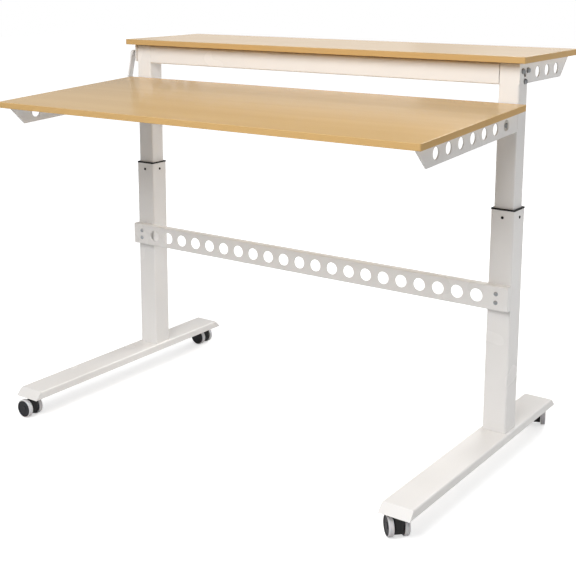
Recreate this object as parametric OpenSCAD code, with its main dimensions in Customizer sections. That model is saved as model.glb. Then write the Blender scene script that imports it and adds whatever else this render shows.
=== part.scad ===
// Hand-crank standing desk on casters: a tilted lower desktop, a level rear shelf, two
// telescopic columns with a lead screw in each, and a crank shaft through the upper beam.
// +X is the user's right, +Y is away from the user, +Z is up, and the floor is at z = 0.

/* [Boards] */
// Width of both boards
board_w = 1220; // [1100:10:1500]
// Depth of the lower desktop
desk_depth = 508; // [430:1:650]
// Depth of the rear shelf
shelf_depth = 330; // [280:1:420]
// Thickness of both boards
board_t = 15; // [12:1:25]
// Radius of the boards' corners in plan
board_corner_r = 4; // [2:0.5:12]
// Radius that eases the boards' long edges
board_edge_r = 1; // [0.5:0.25:2]
// Height of the desktop's back edge above the floor as shown
desk_height = 886; // [870:1:930]
// Slope of the desktop towards the user, in degrees
desk_tilt = 3; // [0:0.5:8]
// Height of the shelf's top above the desktop's back edge
shelf_rise = 109; // [95:1:160]
// Overhang of the shelf in front of the outer tubes
shelf_front = 20; // [0:1:60]

/* [Columns] */
// Distance between the two columns' centres
column_spacing = 1125; // [1000:5:1250]
// Side of the fixed outer tube
outer_w = 60; // [58:1:70]
// Side of the sliding inner tube
inner_w = 50; // [48:0.5:50]
// Wall of both tubes
tube_wall = 2; // [1.5:0.25:2.5]
// Outside corner radius of both tubes
tube_corner_r = 4; // [3:0.5:6]
// Height of the outer tube's mouth above the floor
outer_top = 633; // [600:1:650]
// Length of the inner tube
inner_len = 725; // [690:1:726]

/* [Feet] */
// Gap between the floor and a foot's underside
foot_gap = 60; // [56:1:80]
// Width of a foot
foot_w = 76; // [70:1:100]
// Height of a foot
foot_h = 20; // [16:1:22]
// Sheet that a foot is folded from
foot_sheet = 3; // [2:0.5:4]
// Reach of a foot's lower edge in front of the outer tube
foot_front = 495; // [420:1:560]
// Reach of a foot's lower edge behind the front of the outer tube
foot_back = 299; // [240:1:360]
// Radius of a foot's folds
foot_fold_r = 4; // [4:0.5:6]

/* [Cross rail] */
// Height of the perforated rail's face
rail_h = 60; // [50:1:80]
// Distance of the rail's face in front of the columns
rail_depth = 20; // [14:1:40]
// Sheet that the rail is folded from
rail_sheet = 2; // [1.5:0.25:3]
// Height of the rail's middle above the floor
rail_mid = 422.5; // [300:0.5:560]
// Diameter of the rail's holes
rail_hole_d = 32; // [20:1:36]
// Distance between the rail's holes
rail_pitch = 51.25; // [44:0.25:52]
// Number of holes in the rail
rail_holes = 21; // [5:2:21]
// Distance between the two bolts at each end of the rail
rail_bolt_gap = 21.5; // [16:0.5:34]

/* [Upper beam] */
// Side of the beam that joins the inner tubes
beam_w = 50; // [46:1:50]
// Wall of the beam
beam_wall = 2; // [1.5:0.25:3]

/* [Brackets] */
// Height of a bracket's plate
bracket_h = 50; // [48:1:60]
// Sheet that the brackets are folded from
bracket_t = 3; // [2:0.5:4]
// Width of a bracket's flanges
flange_w = 40; // [30:1:46]
// Reach of the desk bracket in front of the outer tubes
desk_reach = 489; // [450:1:495]
// Reach of the shelf bracket behind the front of the outer tubes
shelf_reach = 298; // [260:1:300]
// Diameter of the holes in the brackets
bracket_hole_d = 27; // [16:1:30]
// Distance between the holes in the brackets
bracket_pitch = 57; // [40:1:58]
// Number of holes in a desk bracket
desk_holes = 7; // [2:1:7]
// Number of holes in a shelf bracket
shelf_holes = 3; // [1:1:3]

/* [Lift] */
// Diameter of the lead screw
screw_d = 16; // [12:0.5:18]
// Diameter of the screw's neck in the gear housing
neck_d = 10; // [8:0.5:11]
// Outside diameter of the nut post
post_d = 28; // [26:0.5:30]
// Wall of the nut post
post_wall = 4; // [3:0.25:4.5]
// Height of the lift nut's flange above the floor
nut_height = 575; // [540:1:600]
// Length of the lift nut's body
nut_len = 30; // [20:1:40]
// Height of the lead screw's lower end above the floor as shown
screw_bottom = 262; // [245:1:285]

/* [Gears] */
// Teeth on each mitre gear
gear_teeth = 16; // [14:1:18]
// Size of the teeth: pitch diameter over number of teeth
gear_module = 1.5; // [1.4:0.05:1.6]
// Width of the toothed face
gear_face = 6; // [4:0.5:7]
// Diameter of the gears' hubs
gear_hub_d = 16; // [13:0.5:16]
// Material that is left off each flank, so that the teeth run free
backlash = 0.1; // [0.06:0.01:0.16]

/* [Crank] */
// Width of the hexagonal shaft across its flats
shaft_flats = 8; // [6:0.5:8]
// Distance from the shaft's axis to the grip's axis
crank_len = 165; // [120:1:200]
// Width of the crank arm
arm_w = 18; // [16:0.5:26]
// Thickness of the crank arm
arm_t = 5; // [4:0.5:8]
// Distance from the left inner tube's side to the crank arm
arm_stand_off = 36; // [20:1:60]
// Angle of the hanging crank, forward of straight down, in degrees
crank_angle = 14; // [0:1:45]
// Length of the grip
grip_len = 90; // [70:1:120]
// Diameter of the grip
grip_d = 25; // [20:1:32]

/* [Casters] */
// Diameter of the wheels
wheel_d = 50; // [44:1:54]
// Width of one wheel
wheel_w = 12; // [10:0.5:16]
// Width of the body between the two wheels
hood_w = 22; // [14:0.5:26]
// Distance from the swivel's axis to the axle
caster_trail = 16; // [12:1:20]
// Distance of a caster's stem from the lower end of its foot
stem_inset = 26; // [24:1:60]
// Diameter of the stem
stem_d = 8; // [6:0.5:10]
// Way that each caster's wheels trail: front left, front right, rear left, rear right, in degrees
caster_turn = [180, 136, 180, 112];

/* [Fasteners] */
// Diameter of the structural bolts
bolt_d = 6; // [5:0.5:7]
// Diameter of the screws that hold the boards
wood_screw_d = 4; // [3:0.5:5]
// Diameter of the circle of the three gear housing bolts
housing_bolt_circle = 33; // [31:0.5:34]

/* [Clearances] */
// Sliding gap between a tube and a guide, on each side
slide_gap = 0.3; // [0.25:0.05:0.5]
// Running gap round a turning shaft
running_gap = 0.08; // [0.04:0.01:0.1]
// Gap round a part that is fitted once
fit_gap = 0.1; // [0.05:0.01:0.2]

/* [Hidden] */

$fn = 48;
eps = 1;
left = -1;
right = 1;

// Colours
cream = "#dcd6cd";
beech = "#d9b57f";
black = "#1d1d1f";
tyre_grey = "#b4b4ba";
zinc = "#c3c5c8";
steel = "#9a9da1";
bronze = "#b08d57";
nylon = "#e8e6df";

// Heights
desk_top = desk_height;
shelf_top = desk_height + shelf_rise;
shelf_under = shelf_top - board_t;
inner_top = shelf_under - bracket_t;
inner_bottom = inner_top - inner_len;
foot_top = foot_gap + foot_h;
shaft_z = inner_top - beam_w / 2;

// Depths, from the front of the outer tubes
column_y = outer_w / 2;
inner_front = column_y - inner_w / 2;
column_x = column_spacing / 2;
inner_side = column_x + inner_w / 2;
beam_half = column_x - inner_w / 2;

// Collar on the outer tube's mouth
collar_lip = 0.75;
collar_flange = 3.2;
collar_depth = 28;
collar_bore = inner_w + 2 * slide_gap;
collar_sleeve = outer_w - 2 * tube_wall - 2 * fit_gap;
plug_drop = 17.5;
plug_head_d = 7;
plug_head_t = 1;
plug_d = 4;

// Lower glide
glide_h = 30;
glide_floor = 3;
glide_w = outer_w - 2 * tube_wall - 2 * slide_gap;
glide_hole_d = post_d + 6;

// Rail and its bolts
rail_half = column_x + outer_w / 2;
rail_fold_r = 3;
rail_bolt_head_d = 11;
rail_bolt_head_t = 4;
rail_bolt_grip = tube_wall;
rail_dome_r = (pow(rail_bolt_head_d / 2, 2) + pow(rail_bolt_head_t, 2)) / (2 * rail_bolt_head_t);

// Bracket details
bend_r = 4;
board_screw_len = board_t - 4;
board_screw_head_d = 8;
board_screw_head_t = 2.5;
desk_hole_drop = board_t + bracket_h / 2;
desk_first_hole = 59;
shelf_first_hole = 104;
shelf_flange_cut = 16;
shelf_hole_z = inner_top + bracket_t - bracket_h / 2 - 2;
shaft_hole_d = 14;
bolt_head_flats = 10;
bolt_head_t = 4;
washer_d = 13;
washer_t = 1.5;
flange_bolt_x = column_x + 2;
flange_bolt_gap = 22;

// Gear housing, measured from the crossing point of the shaft and the screw
housing_w = inner_w - 2 * tube_wall - 4 * fit_gap;
housing_top = 18;
cavity_half = 16;
floor_top = 27;
floor_bottom = 47;
bush_d = 14;
bush_flange_d = 19;
bush_flange_t = 1.5;
thrust_collar_d = 26;
thrust_collar_t = 5;
thrust_gap = 0.3;

// Mitre gears on a pitch cone of 45 degrees, with involute flanks laid out on the back cone
pitch_cone = 45;
pressure_angle = 20;
cone_out = gear_teeth * gear_module / 2 / sin(pitch_cone);
cone_in = cone_out - gear_face;
virtual_r = cone_out * tan(pitch_cone);
virtual_teeth = gear_teeth / cos(pitch_cone);
base_r = virtual_r * cos(pressure_angle);
tip_r = virtual_r + gear_module;
root_r = virtual_r - 1.25 * gear_module;
flank_steps = 4;
flank = concat([root_r], [for (i = [0:flank_steps]) base_r + (tip_r - base_r) * i / flank_steps]);
gear_back = cone_out * cos(pitch_cone + atan((root_r - virtual_r) / cone_out));
neck_top = cone_in * cos(pitch_cone);

// Crank
arm_x = -inner_side - arm_stand_off;
arm_boss_t = 4;
crank_bolt_d = 8;
crank_head_d = 13;
crank_head_t = 3;
grip_gap = 0.5;
grip_left = arm_x - arm_t - grip_gap - grip_len;

// Casters
wheel_r = wheel_d / 2;
axle_d = 6;
wheel_gap = 1;
wheel_in = hood_w / 2 + wheel_gap;
wheel_out = wheel_in + wheel_w;
tyre_wall = 3;
rim_r = wheel_r - tyre_wall - fit_gap;
hood_r = wheel_r - 4;
wheel_web_t = 3;
axle_half = wheel_out - wheel_web_t - 1;
hood_top = foot_gap - 3;
stem_depth = (hood_top - wheel_r) * 2 / 3;
stem_rise = foot_h / 2;
stem_end_gap = 1;
stem_plate_t = 6;
stem_plate_len = 34;
front_stem_y = -foot_front + stem_inset;
rear_stem_y = foot_back - stem_inset;

// The reference point is the middle of the whole desk's outline, on the floor
turned = caster_turn[3];
rear_tyre_y = rear_stem_y + caster_trail * sin(turned) + wheel_r * sin(turned) - wheel_out * cos(turned);
origin_x = (board_w / 2 + grip_left) / 2;
origin_y = (max(rear_tyre_y, shelf_depth - shelf_front) - desk_depth * cos(desk_tilt)) / 2;

module at_origin() {
    translate([-origin_x, -origin_y, 0]) children();
}

module at_column(side) {
    translate([side * column_x, column_y, 0]) children();
}

// Mirrors what is drawn for the right-hand side
module on_side(side) {
    if (side == right) children();
    else mirror([1, 0, 0]) children();
}

// Moves into the desktop's own slope: y runs along the board and z = 0 is its top
module on_desktop() {
    translate([0, 0, desk_top]) rotate([desk_tilt, 0, 0]) children();
}

// Height of a line that lies drop under the desktop's top, at depth y
function under_desk(y, drop) = desk_top + y * tan(desk_tilt) - drop / cos(desk_tilt);

module rounded_rect(w, h, r) {
    square([w - 2 * r, h], center = true);
    square([w, h - 2 * r], center = true);
    for (x = [-1, 1], y = [-1, 1])
        translate([x * (w / 2 - r), y * (h / 2 - r)]) circle(r);
}

module square_tube(w, wall, r, len) {
    linear_extrude(len) difference() {
        rounded_rect(w, w, r);
        rounded_rect(w - 2 * wall, w - 2 * wall, r - wall);
    }
}

module along_x(d, from, to) {
    translate([from, 0, 0]) rotate([0, 90, 0]) cylinder(d = d, h = to - from);
}

module along_y(d, from, to) {
    translate([0, from, 0]) rotate([-90, 0, 0]) cylinder(d = d, h = to - from);
}

// Extrudes an outline drawn in y and z along x
module side_view(from, to) {
    translate([from, 0, 0]) rotate([90, 0, 90]) linear_extrude(to - from) children();
}

module hex_bar(flats, len) {
    cylinder(d = flats / cos(30), h = len, $fn = 6);
}

// A hexagonal bar along x
module hex_along_x(flats, from, to) {
    translate([from, 0, 0]) rotate([0, 90, 0]) hex_bar(flats, to - from);
}

// Foot: a shallow tray folded from sheet, with its ends cut back, and two welded stem plates
module foot_form(inset) {
    top = foot_top - inset;
    cut = foot_h;
    intersection() {
        side_view(-foot_w, foot_w) polygon([
            [-foot_front + inset, foot_gap - inset],
            [-foot_front + cut + inset * tan(22.5), top],
            [foot_back - cut - inset * tan(22.5), top],
            [foot_back - inset, foot_gap - inset]]);
        translate([0, foot_back, 0]) rotate([90, 0, 0]) linear_extrude(foot_front + foot_back)
            translate([0, (top + foot_gap - 2 * foot_fold_r) / 2])
                rounded_rect(foot_w - 2 * inset, top - foot_gap + 2 * foot_fold_r,
                    foot_fold_r - inset * 0.8);
    }
}

module stem_plate(y) {
    translate([-foot_w / 2 + foot_sheet - eps, y - stem_plate_len / 2, foot_gap])
        cube([foot_w - 2 * foot_sheet + 2 * eps, stem_plate_len, stem_plate_t]);
}

module foot(side) {
    color(cream) translate([side * column_x, 0, 0]) difference() {
        union() {
            difference() {
                intersection() {
                    foot_form(0);
                    translate([-foot_w, -foot_front - eps, foot_gap])
                        cube([2 * foot_w, foot_front + foot_back + 2 * eps, foot_h + eps]);
                }
                foot_form(foot_sheet);
            }
            stem_plate(front_stem_y);
            stem_plate(rear_stem_y);
        }
        for (y = [front_stem_y, rear_stem_y])
            translate([0, y, foot_gap - eps])
                cylinder(d = stem_d + 2 * fit_gap, h = stem_plate_t + 2 * eps);
    }
}

module outer_tube(side) {
    color(cream) at_column(side) difference() {
        translate([0, 0, foot_top])
            square_tube(outer_w, tube_wall, tube_corner_r, outer_top - foot_top);
        for (turn = [0:90:270])
            translate([0, 0, outer_top - plug_drop]) rotate(turn)
                along_y(plug_d + 2 * fit_gap, -outer_w / 2 - eps, -outer_w / 2 + tube_wall + eps);
        for (z = [-1, 1])
            translate([0, 0, rail_mid + z * rail_bolt_gap / 2])
                along_y(bolt_d + 2 * fit_gap, -outer_w / 2 - eps, -outer_w / 2 + tube_wall + eps);
    }
}

// Collar: a lip on the tube's mouth and the guide sleeve inside it
module collar(side) {
    color(black) at_column(side) difference() {
        union() {
            translate([0, 0, outer_top]) linear_extrude(collar_flange)
                rounded_rect(outer_w + 2 * collar_lip, outer_w + 2 * collar_lip, tube_corner_r);
            translate([0, 0, outer_top - collar_depth]) linear_extrude(collar_depth + eps)
                rounded_rect(collar_sleeve, collar_sleeve, tube_corner_r - tube_wall);
        }
        translate([0, 0, outer_top - collar_depth - eps])
            linear_extrude(collar_depth + collar_flange + 2 * eps)
                rounded_rect(collar_bore, collar_bore, tube_corner_r);
        for (turn = [0:90:270])
            translate([0, 0, outer_top - plug_drop]) rotate(turn)
                along_y(plug_d + 2 * fit_gap, -outer_w / 2, -collar_bore / 2 + eps);
    }
}

module collar_plugs() {
    color(black) for (side = [left, right], turn = [0:90:270])
        at_column(side) translate([0, 0, outer_top - plug_drop]) rotate(turn) {
            along_y(plug_head_d, -outer_w / 2 - plug_head_t, -outer_w / 2);
            along_y(plug_d, -outer_w / 2 - plug_head_t / 2, -collar_bore / 2 - slide_gap);
        }
}

// The rail's cross-section, closed at the back, which the cut at y = 0 then opens
module rail_outline(inset) {
    fold = rail_depth + 2 * rail_fold_r;
    translate([fold / 2 - rail_depth + inset, 0])
        rounded_rect(fold, rail_h - 2 * inset, rail_fold_r - inset);
}

// Cross rail: a channel that is open towards the columns, with closed ends
module cross_rail() {
    inside = rail_half - rail_sheet;
    color(cream) difference() {
        translate([0, 0, rail_mid]) difference() {
            side_view(-rail_half, rail_half) rail_outline(0);
            side_view(-inside, inside) rail_outline(rail_sheet);
            translate([-rail_half - eps, 0, -rail_h]) cube([2 * rail_half + 2 * eps, rail_h, 2 * rail_h]);
        }
        for (i = [0:rail_holes - 1])
            translate([(i - (rail_holes - 1) / 2) * rail_pitch, 0, rail_mid])
                along_y(rail_hole_d, -rail_depth - eps, -rail_depth + rail_sheet + eps);
        for (side = [left, right], z = [-1, 1])
            translate([side * column_x, 0, rail_mid + z * rail_bolt_gap / 2])
                along_y(bolt_d + 2 * fit_gap, -rail_depth - eps, -rail_depth + rail_sheet + eps);
    }
}

// Dome head bolts whose tips end flush inside the tubes, clear of the lower glides
module rail_bolts() {
    color(zinc) for (side = [left, right], z = [-1, 1])
        translate([side * column_x, 0, rail_mid + z * rail_bolt_gap / 2]) difference() {
            union() {
                intersection() {
                    translate([0, -rail_depth - rail_bolt_head_t + rail_dome_r, 0]) sphere(rail_dome_r);
                    along_y(rail_bolt_head_d + 2 * eps, -rail_depth - rail_bolt_head_t - eps, -rail_depth);
                }
                along_y(bolt_d, -rail_depth - eps, rail_bolt_grip);
            }
            translate([0, -rail_depth - rail_bolt_head_t - eps, 0]) rotate([-90, 0, 0])
                hex_bar(bolt_d * 0.7, rail_bolt_head_t * 0.6 + eps);
        }
}

// Nut post: a thick tube on a round base, standing on the foot inside the column
module nut_post(side) {
    base_d = post_d + 16;
    base_t = 4;
    color(steel) at_column(side) difference() {
        union() {
            translate([0, 0, foot_top]) cylinder(d = post_d, h = nut_height - foot_top);
            translate([0, 0, foot_top]) cylinder(d = base_d, h = base_t);
        }
        translate([0, 0, foot_top - eps])
            cylinder(d = post_d - 2 * post_wall, h = nut_height - foot_top + 2 * eps);
    }
}

module lift_nut(side) {
    flange_t = 6;
    color(bronze) at_column(side) difference() {
        union() {
            translate([0, 0, nut_height - nut_len])
                cylinder(d = post_d - 2 * post_wall - 2 * fit_gap, h = nut_len + eps);
            translate([0, 0, nut_height]) cylinder(d = post_d, h = flange_t);
        }
        translate([0, 0, nut_height - nut_len - eps])
            cylinder(d = screw_d + 2 * running_gap, h = nut_len + flange_t + 2 * eps);
    }
}

module caster_stems() {
    washer_gap = 0.3;
    color(zinc) for (side = [left, right], y = [front_stem_y, rear_stem_y])
        translate([side * column_x, y, 0]) {
            translate([0, 0, hood_top - stem_depth])
                cylinder(d = stem_d, h = stem_depth + foot_gap - hood_top + stem_rise);
            translate([0, 0, hood_top + washer_gap])
                cylinder(d = 2 * stem_d, h = foot_gap - hood_top - washer_gap);
        }
}

// Inner tube: both have the shaft's hole on both sides, so that the crank fits either column
module inner_tube(side) {
    wall_x = inner_w / 2;
    color(cream) at_column(side) difference() {
        translate([0, 0, inner_bottom])
            square_tube(inner_w, tube_wall, tube_corner_r, inner_len);
        translate([0, 0, shaft_z]) {
            along_x(shaft_hole_d, -wall_x - eps, wall_x + eps);
            mirror([side == left ? 1 : 0, 0, 0]) housing_bolt_places()
                along_x(bolt_d + 2 * fit_gap, wall_x - tube_wall - eps, wall_x + eps);
        }
        for (z = [-1, 1])
            translate([flange_bolt_x * side - column_x * side, 0, flange_mid + z * flange_bolt_gap / 2])
                along_y(bolt_d + 2 * fit_gap, -wall_x - eps, -wall_x + tube_wall + eps);
    }
}

// The three bolts of a gear housing stand on a circle round the shaft
module housing_bolt_places() {
    for (a = [30, 150, 270])
        translate([0, housing_bolt_circle / 2 * cos(a), housing_bolt_circle / 2 * sin(a)])
            children();
}

// Lower glide: a pad round the inner tube's end, with a floor that the nut post passes
module lower_glide(side) {
    sleeve_bore = inner_w + 2 * fit_gap;
    color(nylon) at_column(side) difference() {
        translate([0, 0, inner_bottom - glide_floor]) linear_extrude(glide_h + glide_floor)
            rounded_rect(glide_w, glide_w, tube_corner_r - tube_wall);
        translate([0, 0, inner_bottom]) linear_extrude(glide_h + eps)
            rounded_rect(sleeve_bore, sleeve_bore, tube_corner_r);
        translate([0, 0, inner_bottom - glide_floor - eps])
            cylinder(d = glide_hole_d, h = glide_floor + 2 * eps);
    }
}

module upper_beam() {
    color(cream) translate([-beam_half, inner_front + beam_w / 2, inner_top - beam_w / 2])
        rotate([90, 0, 90]) linear_extrude(2 * beam_half) difference() {
            rounded_rect(beam_w, beam_w, tube_corner_r);
            rounded_rect(beam_w - 2 * beam_wall, beam_w - 2 * beam_wall, tube_corner_r - beam_wall);
        }
}

// Cross-section of a folded angle: the plate's outside is at x = 0, the flange's top at y = 0
module angle_section(w, h, t) {
    difference() {
        translate([-w / 2, -h / 2]) intersection() {
            translate([-bend_r, -bend_r]) rounded_rect(w + 2 * bend_r, h + 2 * bend_r, bend_r);
            square([w, h], center = true);
        }
        translate([-w - eps, -h - eps]) square([w + eps - t, h + eps - t]);
    }
}

flange_top = under_desk(inner_front, board_t + bracket_t);
flange_bottom = under_desk(inner_front, board_t + bracket_h);
flange_mid = (flange_top + flange_bottom) / 2;
desk_screw_places = [for (i = [0:3]) -desk_first_hole - bracket_pitch * (1.6 * i - 0.1)];
shelf_screw_places = [for (i = [0:2]) shelf_first_hole - bracket_pitch / 2 + bracket_pitch * 1.25 * i];

// Desk bracket: an angle under the desktop whose back is folded onto the inner tube's front
module desk_bracket(side) {
    color(cream) on_side(side) difference() {
        union() {
            intersection() {
                on_desktop() translate([inner_side, 2 * eps + inner_front, -board_t]) rotate([90, 0, 0])
                    linear_extrude(desk_reach + outer_w) angle_section(flange_w, bracket_h, bracket_t);
                side_view(inner_side - flange_w - eps, inner_side + eps) polygon([
                    [-desk_reach, under_desk(-desk_reach, board_t - eps)],
                    [-desk_reach, under_desk(-desk_reach, board_t)],
                    [-desk_reach + bracket_h, under_desk(-desk_reach + bracket_h, board_t + bracket_h)],
                    [-desk_reach + bracket_h, under_desk(-desk_reach + bracket_h, board_t + bracket_h + eps)],
                    [inner_front, under_desk(inner_front, board_t + bracket_h + eps)],
                    [inner_front, under_desk(inner_front, board_t - eps)]]);
            }
            side_view(inner_side - flange_w, inner_side) polygon([
                [inner_front - bracket_t, under_desk(inner_front - bracket_t, board_t + bracket_h)],
                [inner_front, under_desk(inner_front, board_t + bracket_h)],
                [inner_front, flange_top],
                [inner_front - bracket_t, flange_top]]);
        }
        on_desktop() for (i = [0:desk_holes - 1])
            translate([0, -desk_first_hole - i * bracket_pitch, -desk_hole_drop])
                along_x(bracket_hole_d, inner_side - bracket_t - eps, inner_side + eps);
        on_desktop() for (y = desk_screw_places)
            translate([inner_side - flange_w / 2, y, -board_t - bracket_t - eps])
                cylinder(d = wood_screw_d + 2 * fit_gap, h = bracket_t + 2 * eps);
        for (z = [-1, 1])
            translate([flange_bolt_x, 0, flange_mid + z * flange_bolt_gap / 2])
                along_y(bolt_d + 2 * fit_gap, inner_front - bracket_t - eps, inner_front + eps);
    }
}

// Shelf bracket: an angle whose plate lies on the inner tube's outer side, and whose flange
// is cut back at the front, which leaves a slot between the shelf and the column's top
module shelf_bracket(side) {
    outside = inner_side + bracket_t;
    low = shelf_under - bracket_h;
    color(cream) on_side(side) difference() {
        intersection() {
            translate([outside, shelf_reach, shelf_under]) rotate([90, 0, 0])
                linear_extrude(shelf_reach) angle_section(flange_w, bracket_h, bracket_t);
            side_view(outside - flange_w - eps, outside + eps) polygon([
                [-eps, low - eps], [shelf_reach - bracket_h, low - eps],
                [shelf_reach - bracket_h, low], [shelf_reach, shelf_under],
                [shelf_reach, shelf_under + eps], [-eps, shelf_under + eps]]);
        }
        translate([inner_side - flange_w, -eps, shelf_under - bracket_t - eps])
            cube([flange_w, shelf_flange_cut + eps, bracket_t + 2 * eps]);
        for (i = [0:shelf_holes - 1])
            translate([0, shelf_first_hole + i * bracket_pitch, shelf_hole_z])
                along_x(bracket_hole_d, inner_side - eps, outside + eps);
        for (y = shelf_screw_places)
            translate([outside - flange_w / 2, y, shelf_under - bracket_t - eps])
                cylinder(d = wood_screw_d + 2 * fit_gap, h = bracket_t + 2 * eps);
        translate([0, column_y, shaft_z]) {
            housing_bolt_places() along_x(bolt_d + 2 * fit_gap, inner_side - eps, outside + eps);
            along_x(shaft_hole_d, inner_side - eps, outside + eps);
        }
    }
}

// A board with eased edges, its top at z = 0 and its back edge at y = 0
module board(depth) {
    intersection() {
        translate([0, -depth / 2, -board_t])
            linear_extrude(board_t) rounded_rect(board_w, depth, board_corner_r);
        translate([0, 0, -board_t / 2]) rotate([90, 0, 0]) linear_extrude(depth)
            rounded_rect(board_w, board_t, board_edge_r);
        side_view(-board_w / 2, board_w / 2)
            translate([-depth / 2, -board_t / 2]) rounded_rect(depth, board_t, board_edge_r);
    }
}

module screw_holes(x, places) {
    for (side = [left, right], y = places)
        translate([side * x, y, -board_t - eps])
            cylinder(d = wood_screw_d + 2 * fit_gap, h = board_screw_len + eps + fit_gap);
}

module desktop() {
    color(beech) on_desktop() difference() {
        board(desk_depth);
        screw_holes(inner_side - flange_w / 2, desk_screw_places);
    }
}

module shelf() {
    back = shelf_depth - shelf_front;
    color(beech) translate([0, back, shelf_top]) difference() {
        board(shelf_depth);
        screw_holes(inner_side + bracket_t - flange_w / 2, [for (y = shelf_screw_places) y - back]);
    }
}

// Hexagon head bolt with its washer, entering along +x
module hex_bolt(len) {
    along_x(washer_d, -washer_t, 0);
    hex_along_x(bolt_head_flats, -washer_t - bolt_head_t, -washer_t / 2);
    along_x(bolt_d, -washer_t, len);
}

module bracket_bolts() {
    housing_grip = bracket_t + tube_wall + housing_w / 2 - cavity_half;
    color(zinc) for (side = [left, right]) on_side(side) {
        translate([inner_side + bracket_t, column_y, shaft_z])
            housing_bolt_places() rotate([0, 0, 180]) hex_bolt(housing_grip);
        for (z = [-1, 1])
            translate([flange_bolt_x, inner_front - bracket_t, flange_mid + z * flange_bolt_gap / 2])
                rotate([0, 0, 90]) hex_bolt(bracket_t + tube_wall + 2);
    }
}

// Pan head screw into a board's underside, seated at z = 0
module board_screw() {
    translate([0, 0, -board_screw_head_t]) cylinder(d = board_screw_head_d, h = board_screw_head_t);
    translate([0, 0, -eps]) cylinder(d = wood_screw_d, h = bracket_t + board_screw_len + eps);
}

module board_screws() {
    color(zinc) for (side = [left, right]) on_side(side) {
        on_desktop() for (y = desk_screw_places)
            translate([inner_side - flange_w / 2, y, -board_t - bracket_t]) board_screw();
        for (y = shelf_screw_places)
            translate([inner_side + bracket_t - flange_w / 2, y, shelf_under - bracket_t]) board_screw();
    }
}

// Gear housing: two cheeks on a thick floor. The shaft's bush runs in the left cheek,
// and the drive gear's hub in the right one
module gear_housing(side) {
    half = housing_w / 2;
    bolt_side = side == left ? 1 : 0;
    color(steel) at_column(side) translate([0, 0, shaft_z]) difference() {
        translate([0, 0, -floor_bottom]) linear_extrude(floor_bottom + housing_top)
            rounded_rect(housing_w, housing_w, tube_corner_r - tube_wall + fit_gap);
        translate([-cavity_half, -half - eps, -floor_top])
            cube([2 * cavity_half, housing_w + 2 * eps, floor_top + housing_top + eps]);
        along_x(bush_d + 2 * running_gap, -half - eps, -cavity_half + eps);
        along_x(gear_hub_d + 2 * running_gap, cavity_half - eps, half + eps);
        translate([0, 0, -floor_bottom - eps])
            cylinder(d = neck_d + 2 * running_gap, h = floor_bottom - floor_top + 2 * eps);
        mirror([bolt_side, 0, 0]) housing_bolt_places()
            along_x(bolt_d + 2 * fit_gap, cavity_half - eps, half + eps);
    }
}

// Cross shaft: a hexagonal rod from the crank to the right column
module cross_shaft() {
    color(zinc) translate([0, column_y, shaft_z])
        hex_along_x(shaft_flats, arm_x - arm_t, column_x + housing_w / 2 - fit_gap);
}

// Flanged bushes that carry the hexagonal shaft in the housings' left cheeks
module shaft_bushes() {
    flange = -cavity_half + thrust_gap;
    color(nylon) for (side = [left, right])
        at_column(side) translate([0, 0, shaft_z]) difference() {
            union() {
                along_x(bush_d, -housing_w / 2, flange);
                along_x(bush_flange_d, flange, flange + bush_flange_t);
            }
            hex_along_x(shaft_flats + 2 * fit_gap, -housing_w, 0);
        }
}

// Involute function of an angle in degrees
function inv(a) = tan(a) - a * PI / 180;

// Half of a tooth's angle at radius r of the back cone, in radians
function half_tooth(r) = PI / 2 / virtual_teeth + inv(pressure_angle)
    - inv(acos(min(1, base_r / r))) - backlash / r;

// Angle from the gear's axis, and half the tooth's angle round that axis, at flank radius r
function cone_angle(r) = pitch_cone + atan((r - virtual_r) / cone_out);
function turn_angle(r) = r * half_tooth(r) / (cone_out * sin(cone_angle(r))) * 180 / PI;

// One tooth as pairs of cone angle and turn angle
tooth = concat(
    [for (r = flank) [cone_angle(r), -turn_angle(r)]],
    [for (i = [len(flank) - 1:-1:0]) [cone_angle(flank[i]), turn_angle(flank[i])]]);

function on_sphere(r, cone, turn) = r * [sin(cone) * cos(turn), sin(cone) * sin(turn), cos(cone)];
function ring(r) = [for (k = [0:gear_teeth - 1], p = tooth) on_sphere(r, p[0], p[1] + k * 360 / gear_teeth)];

// Toothed part of a mitre gear: its apex is at the origin and its axis is +z
module gear_teeth_body() {
    n = gear_teeth * len(tooth);
    back_centre = 2 * n;
    front_centre = 2 * n + 1;
    polyhedron(
        points = concat(ring(cone_out), ring(cone_in),
            [[0, 0, gear_back], [0, 0, gear_back * cone_in / cone_out]]),
        faces = concat(
            [for (i = [0:n - 1]) [back_centre, (i + 1) % n, i]],
            [for (i = [0:n - 1]) [front_centre, n + i, n + (i + 1) % n]],
            [for (i = [0:n - 1]) [i, (i + 1) % n, n + (i + 1) % n]],
            [for (i = [0:n - 1]) [i, n + (i + 1) % n, n + i]]));
}

// A mitre gear with its hub, before it is bored
module mitre_gear(hub_end) {
    gear_teeth_body();
    translate([0, 0, gear_back - eps]) cylinder(d = gear_hub_d, h = hub_end - gear_back + eps);
}

// The drive gear stands on the shaft, to the right of the screw
module drive_gear(side) {
    hub_end = housing_w / 2 - fit_gap;
    color(steel) at_column(side) translate([0, 0, shaft_z]) rotate([0, 90, 0]) difference() {
        rotate(180 / gear_teeth) mitre_gear(hub_end);
        hex_bar(shaft_flats + 2 * fit_gap, hub_end + eps);
    }
}

// The screw gear looks up at the shaft from the top of the lead screw
module screw_gear(side) {
    hub_end = floor_top - thrust_gap;
    color(steel) at_column(side) translate([0, 0, shaft_z]) rotate([180, 0, 0]) difference() {
        mitre_gear(hub_end);
        cylinder(d = neck_d + 2 * fit_gap, h = hub_end + eps);
    }
}

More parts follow.
